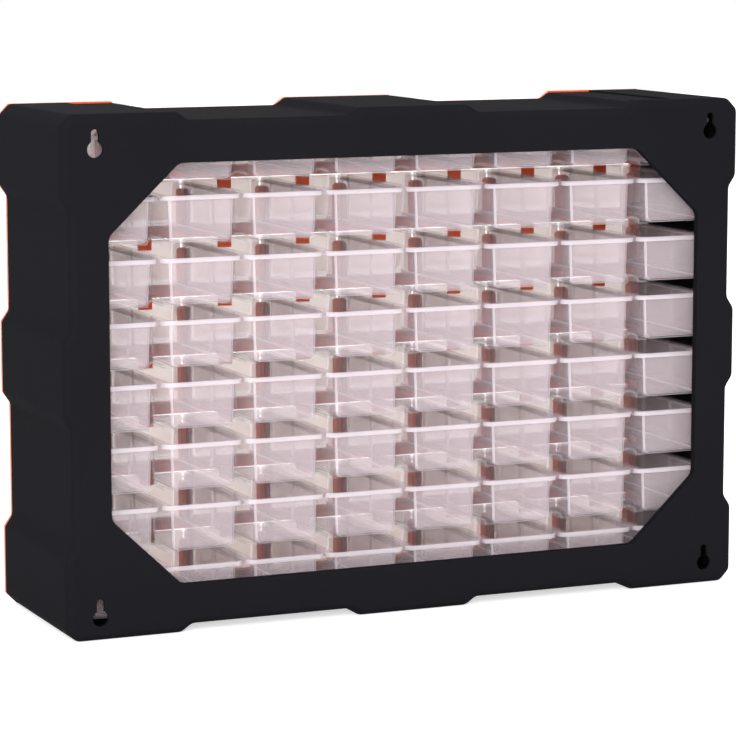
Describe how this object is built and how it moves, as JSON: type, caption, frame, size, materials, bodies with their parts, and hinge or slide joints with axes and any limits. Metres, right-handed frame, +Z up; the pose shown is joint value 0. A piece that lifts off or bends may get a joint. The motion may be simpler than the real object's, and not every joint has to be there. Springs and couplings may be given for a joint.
{
  "type": "parts bin cabinet",
  "caption": "Upright cabinet of small see-through pull-out drawers in a grid, in a castellated plastic housing with an octagonal rear window and keyholes for a wall.",
  "frame": {"origin": "middle of the base, on the surface the cabinet stands on, at the centre of its depth with the drawers' pulls", "axes": "+X to the right seen from the front, +Y to the rear window, +Z up; the drawers pull out along -Y"},
  "size_m": [0.52, 0.152, 0.36],
  "materials": {
    "housing_black": "moulded polypropylene, fine matt texture",
    "frame_orange": "moulded polypropylene, satin",
    "rack_natural": "natural polypropylene, cloudy and satin",
    "drawer_clear": "clarified polypropylene, milky and smooth"
  },
  "bodies": {
    "root": {"housing": "housing_black", "front_frame": "frame_orange", "divider_racks": "rack_natural", "wall_racks": "housing_black"},
    "drawer_r1_c1": {"drawer_r1_c1": "drawer_clear"},
    "drawer_r2_c1": {"drawer_r2_c1": "drawer_clear"},
    "drawer_r3_c1": {"drawer_r3_c1": "drawer_clear"},
    "drawer_r4_c1": {"drawer_r4_c1": "drawer_clear"},
    "drawer_r5_c1": {"drawer_r5_c1": "drawer_clear"},
    "drawer_r6_c1": {"drawer_r6_c1": "drawer_clear"},
    "drawer_r1_c2": {"drawer_r1_c2": "drawer_clear"},
    "drawer_r2_c2": {"drawer_r2_c2": "drawer_clear"},
    "drawer_r3_c2": {"drawer_r3_c2": "drawer_clear"},
    "drawer_r4_c2": {"drawer_r4_c2": "drawer_clear"},
    "drawer_r5_c2": {"drawer_r5_c2": "drawer_clear"},
    "drawer_r6_c2": {"drawer_r6_c2": "drawer_clear"},
    "drawer_r1_c3": {"drawer_r1_c3": "drawer_clear"},
    "drawer_r2_c3": {"drawer_r2_c3": "drawer_clear"},
    "drawer_r3_c3": {"drawer_r3_c3": "drawer_clear"},
    "drawer_r4_c3": {"drawer_r4_c3": "drawer_clear"},
    "drawer_r5_c3": {"drawer_r5_c3": "drawer_clear"},
    "drawer_r6_c3": {"drawer_r6_c3": "drawer_clear"},
    "drawer_r1_c4": {"drawer_r1_c4": "drawer_clear"},
    "drawer_r2_c4": {"drawer_r2_c4": "drawer_clear"},
    "drawer_r3_c4": {"drawer_r3_c4": "drawer_clear"},
    "drawer_r4_c4": {"drawer_r4_c4": "drawer_clear"},
    "drawer_r5_c4": {"drawer_r5_c4": "drawer_clear"},
    "drawer_r6_c4": {"drawer_r6_c4": "drawer_clear"},
    "drawer_r1_c5": {"drawer_r1_c5": "drawer_clear"},
    "drawer_r2_c5": {"drawer_r2_c5": "drawer_clear"},
    "drawer_r3_c5": {"drawer_r3_c5": "drawer_clear"},
    "drawer_r4_c5": {"drawer_r4_c5": "drawer_clear"},
    "drawer_r5_c5": {"drawer_r5_c5": "drawer_clear"},
    "drawer_r6_c5": {"drawer_r6_c5": "drawer_clear"},
    "drawer_r1_c6": {"drawer_r1_c6": "drawer_clear"},
    "drawer_r2_c6": {"drawer_r2_c6": "drawer_clear"},
    "drawer_r3_c6": {"drawer_r3_c6": "drawer_clear"},
    "drawer_r4_c6": {"drawer_r4_c6": "drawer_clear"},
    "drawer_r5_c6": {"drawer_r5_c6": "drawer_clear"},
    "drawer_r6_c6": {"drawer_r6_c6": "drawer_clear"},
    "drawer_r1_c7": {"drawer_r1_c7": "drawer_clear"},
    "drawer_r2_c7": {"drawer_r2_c7": "drawer_clear"},
    "drawer_r3_c7": {"drawer_r3_c7": "drawer_clear"},
    "drawer_r4_c7": {"drawer_r4_c7": "drawer_clear"},
    "drawer_r5_c7": {"drawer_r5_c7": "drawer_clear"},
    "drawer_r6_c7": {"drawer_r6_c7": "drawer_clear"},
    "drawer_r1_c8": {"drawer_r1_c8": "drawer_clear"},
    "drawer_r2_c8": {"drawer_r2_c8": "drawer_clear"},
    "drawer_r3_c8": {"drawer_r3_c8": "drawer_clear"},
    "drawer_r4_c8": {"drawer_r4_c8": "drawer_clear"},
    "drawer_r5_c8": {"drawer_r5_c8": "drawer_clear"},
    "drawer_r6_c8": {"drawer_r6_c8": "drawer_clear"},
    "drawers_r7_r8_c1": {"drawers_r7_r8_c1": "drawer_clear"},
    "drawers_r7_r8_c2": {"drawers_r7_r8_c2": "drawer_clear"},
    "drawers_r7_r8_c3": {"drawers_r7_r8_c3": "drawer_clear"},
    "drawers_r7_r8_c4": {"drawers_r7_r8_c4": "drawer_clear"},
    "drawers_r7_r8_c5": {"drawers_r7_r8_c5": "drawer_clear"},
    "drawers_r7_r8_c6": {"drawers_r7_r8_c6": "drawer_clear"},
    "drawers_r7_r8_c7": {"drawers_r7_r8_c7": "drawer_clear"},
    "drawers_r7_r8_c8": {"drawers_r7_r8_c8": "drawer_clear"}
  },
  "joints": [
    {"name": "drawer_r1_c1_slide", "type": "slide", "parent": "root", "child": "drawer_r1_c1", "axis": [0, -1, 0], "range_m": [0, 0.114]},
    {"name": "drawer_r2_c1_slide", "type": "slide", "parent": "root", "child": "drawer_r2_c1", "axis": [0, -1, 0], "range_m": [0, 0.114]},
    {"name": "drawer_r3_c1_slide", "type": "slide", "parent": "root", "child": "drawer_r3_c1", "axis": [0, -1, 0], "range_m": [0, 0.114]},
    {"name": "drawer_r4_c1_slide", "type": "slide", "parent": "root", "child": "drawer_r4_c1", "axis": [0, -1, 0], "range_m": [0, 0.114]},
    {"name": "drawer_r5_c1_slide", "type": "slide", "parent": "root", "child": "drawer_r5_c1", "axis": [0, -1, 0], "range_m": [0, 0.114]},
    {"name": "drawer_r6_c1_slide", "type": "slide", "parent": "root", "child": "drawer_r6_c1", "axis": [0, -1, 0], "range_m": [0, 0.114]},
    {"name": "drawer_r1_c2_slide", "type": "slide", "parent": "root", "child": "drawer_r1_c2", "axis": [0, -1, 0], "range_m": [0, 0.114]},
    {"name": "drawer_r2_c2_slide", "type": "slide", "parent": "root", "child": "drawer_r2_c2", "axis": [0, -1, 0], "range_m": [0, 0.114]},
    {"name": "drawer_r3_c2_slide", "type": "slide", "parent": "root", "child": "drawer_r3_c2", "axis": [0, -1, 0], "range_m": [0, 0.114]},
    {"name": "drawer_r4_c2_slide", "type": "slide", "parent": "root", "child": "drawer_r4_c2", "axis": [0, -1, 0], "range_m": [0, 0.114]},
    {"name": "drawer_r5_c2_slide", "type": "slide", "parent": "root", "child": "drawer_r5_c2", "axis": [0, -1, 0], "range_m": [0, 0.114]},
    {"name": "drawer_r6_c2_slide", "type": "slide", "parent": "root", "child": "drawer_r6_c2", "axis": [0, -1, 0], "range_m": [0, 0.114]},
    {"name": "drawer_r1_c3_slide", "type": "slide", "parent": "root", "child": "drawer_r1_c3", "axis": [0, -1, 0], "range_m": [0, 0.114]},
    {"name": "drawer_r2_c3_slide", "type": "slide", "parent": "root", "child": "drawer_r2_c3", "axis": [0, -1, 0], "range_m": [0, 0.114]},
    {"name": "drawer_r3_c3_slide", "type": "slide", "parent": "root", "child": "drawer_r3_c3", "axis": [0, -1, 0], "range_m": [0, 0.114]},
    {"name": "drawer_r4_c3_slide", "type": "slide", "parent": "root", "child": "drawer_r4_c3", "axis": [0, -1, 0], "range_m": [0, 0.114]},
    {"name": "drawer_r5_c3_slide", "type": "slide", "parent": "root", "child": "drawer_r5_c3", "axis": [0, -1, 0], "range_m": [0, 0.114]},
    {"name": "drawer_r6_c3_slide", "type": "slide", "parent": "root", "child": "drawer_r6_c3", "axis": [0, -1, 0], "range_m": [0, 0.114]},
    {"name": "drawer_r1_c4_slide", "type": "slide", "parent": "root", "child": "drawer_r1_c4", "axis": [0, -1, 0], "range_m": [0, 0.114]},
    {"name": "drawer_r2_c4_slide", "type": "slide", "parent": "root", "child": "drawer_r2_c4", "axis": [0, -1, 0], "range_m": [0, 0.114]},
    {"name": "drawer_r3_c4_slide", "type": "slide", "parent": "root", "child": "drawer_r3_c4", "axis": [0, -1, 0], "range_m": [0, 0.114]},
    {"name": "drawer_r4_c4_slide", "type": "slide", "parent": "root", "child": "drawer_r4_c4", "axis": [0, -1, 0], "range_m": [0, 0.114]},
    {"name": "drawer_r5_c4_slide", "type": "slide", "parent": "root", "child": "drawer_r5_c4", "axis": [0, -1, 0], "range_m": [0, 0.114]},
    {"name": "drawer_r6_c4_slide", "type": "slide", "parent": "root", "child": "drawer_r6_c4", "axis": [0, -1, 0], "range_m": [0, 0.114]},
    {"name": "drawer_r1_c5_slide", "type": "slide", "parent": "root", "child": "drawer_r1_c5", "axis": [0, -1, 0], "range_m": [0, 0.114]},
    {"name": "drawer_r2_c5_slide", "type": "slide", "parent": "root", "child": "drawer_r2_c5", "axis": [0, -1, 0], "range_m": [0, 0.114]},
    {"name": "drawer_r3_c5_slide", "type": "slide", "parent": "root", "child": "drawer_r3_c5", "axis": [0, -1, 0], "range_m": [0, 0.114]},
    {"name": "drawer_r4_c5_slide", "type": "slide", "parent": "root", "child": "drawer_r4_c5", "axis": [0, -1, 0], "range_m": [0, 0.114]},
    {"name": "drawer_r5_c5_slide", "type": "slide", "parent": "root", "child": "drawer_r5_c5", "axis": [0, -1, 0], "range_m": [0, 0.114]},
    {"name": "drawer_r6_c5_slide", "type": "slide", "parent": "root", "child": "drawer_r6_c5", "axis": [0, -1, 0], "range_m": [0, 0.114]},
    {"name": "drawer_r1_c6_slide", "type": "slide", "parent": "root", "child": "drawer_r1_c6", "axis": [0, -1, 0], "range_m": [0, 0.114]},
    {"name": "drawer_r2_c6_slide", "type": "slide", "parent": "root", "child": "drawer_r2_c6", "axis": [0, -1, 0], "range_m": [0, 0.114]},
    {"name": "drawer_r3_c6_slide", "type": "slide", "parent": "root", "child": "drawer_r3_c6", "axis": [0, -1, 0], "range_m": [0, 0.114]},
    {"name": "drawer_r4_c6_slide", "type": "slide", "parent": "root", "child": "drawer_r4_c6", "axis": [0, -1, 0], "range_m": [0, 0.114]},
    {"name": "drawer_r5_c6_slide", "type": "slide", "parent": "root", "child": "drawer_r5_c6", "axis": [0, -1, 0], "range_m": [0, 0.114]},
    {"name": "drawer_r6_c6_slide", "type": "slide", "parent": "root", "child": "drawer_r6_c6", "axis": [0, -1, 0], "range_m": [0, 0.114]},
    {"name": "drawer_r1_c7_slide", "type": "slide", "parent": "root", "child": "drawer_r1_c7", "axis": [0, -1, 0], "range_m": [0, 0.114]},
    {"name": "drawer_r2_c7_slide", "type": "slide", "parent": "root", "child": "drawer_r2_c7", "axis": [0, -1, 0], "range_m": [0, 0.114]},
    {"name": "drawer_r3_c7_slide", "type": "slide", "parent": "root", "child": "drawer_r3_c7", "axis": [0, -1, 0], "range_m": [0, 0.114]},
    {"name": "drawer_r4_c7_slide", "type": "slide", "parent": "root", "child": "drawer_r4_c7", "axis": [0, -1, 0], "range_m": [0, 0.114]},
    {"name": "drawer_r5_c7_slide", "type": "slide", "parent": "root", "child": "drawer_r5_c7", "axis": [0, -1, 0], "range_m": [0, 0.114]},
    {"name": "drawer_r6_c7_slide", "type": "slide", "parent": "root", "child": "drawer_r6_c7", "axis": [0, -1, 0], "range_m": [0, 0.114]},
    {"name": "drawer_r1_c8_slide", "type": "slide", "parent": "root", "child": "drawer_r1_c8", "axis": [0, -1, 0], "range_m": [0, 0.114]},
    {"name": "drawer_r2_c8_slide", "type": "slide", "parent": "root", "child": "drawer_r2_c8", "axis": [0, -1, 0], "range_m": [0, 0.114]},
    {"name": "drawer_r3_c8_slide", "type": "slide", "parent": "root", "child": "drawer_r3_c8", "axis": [0, -1, 0], "range_m": [0, 0.114]},
    {"name": "drawer_r4_c8_slide", "type": "slide", "parent": "root", "child": "drawer_r4_c8", "axis": [0, -1, 0], "range_m": [0, 0.114]},
    {"name": "drawer_r5_c8_slide", "type": "slide", "parent": "root", "child": "drawer_r5_c8", "axis": [0, -1, 0], "range_m": [0, 0.114]},
    {"name": "drawer_r6_c8_slide", "type": "slide", "parent": "root", "child": "drawer_r6_c8", "axis": [0, -1, 0], "range_m": [0, 0.114]},
    {"name": "drawers_r7_r8_c1_slide", "type": "slide", "parent": "root", "child": "drawers_r7_r8_c1", "axis": [0, -1, 0], "range_m": [0, 0.114]},
    {"name": "drawers_r7_r8_c2_slide", "type": "slide", "parent": "root", "child": "drawers_r7_r8_c2", "axis": [0, -1, 0], "range_m": [0, 0.114]},
    {"name": "drawers_r7_r8_c3_slide", "type": "slide", "parent": "root", "child": "drawers_r7_r8_c3", "axis": [0, -1, 0], "range_m": [0, 0.114]},
    {"name": "drawers_r7_r8_c4_slide", "type": "slide", "parent": "root", "child": "drawers_r7_r8_c4", "axis": [0, -1, 0], "range_m": [0, 0.114]},
    {"name": "drawers_r7_r8_c5_slide", "type": "slide", "parent": "root", "child": "drawers_r7_r8_c5", "axis": [0, -1, 0], "range_m": [0, 0.114]},
    {"name": "drawers_r7_r8_c6_slide", "type": "slide", "parent": "root", "child": "drawers_r7_r8_c6", "axis": [0, -1, 0], "range_m": [0, 0.114]},
    {"name": "drawers_r7_r8_c7_slide", "type": "slide", "parent": "root", "child": "drawers_r7_r8_c7", "axis": [0, -1, 0], "range_m": [0, 0.114]},
    {"name": "drawers_r7_r8_c8_slide", "type": "slide", "parent": "root", "child": "drawers_r7_r8_c8", "axis": [0, -1, 0], "range_m": [0, 0.114]}
  ]
}
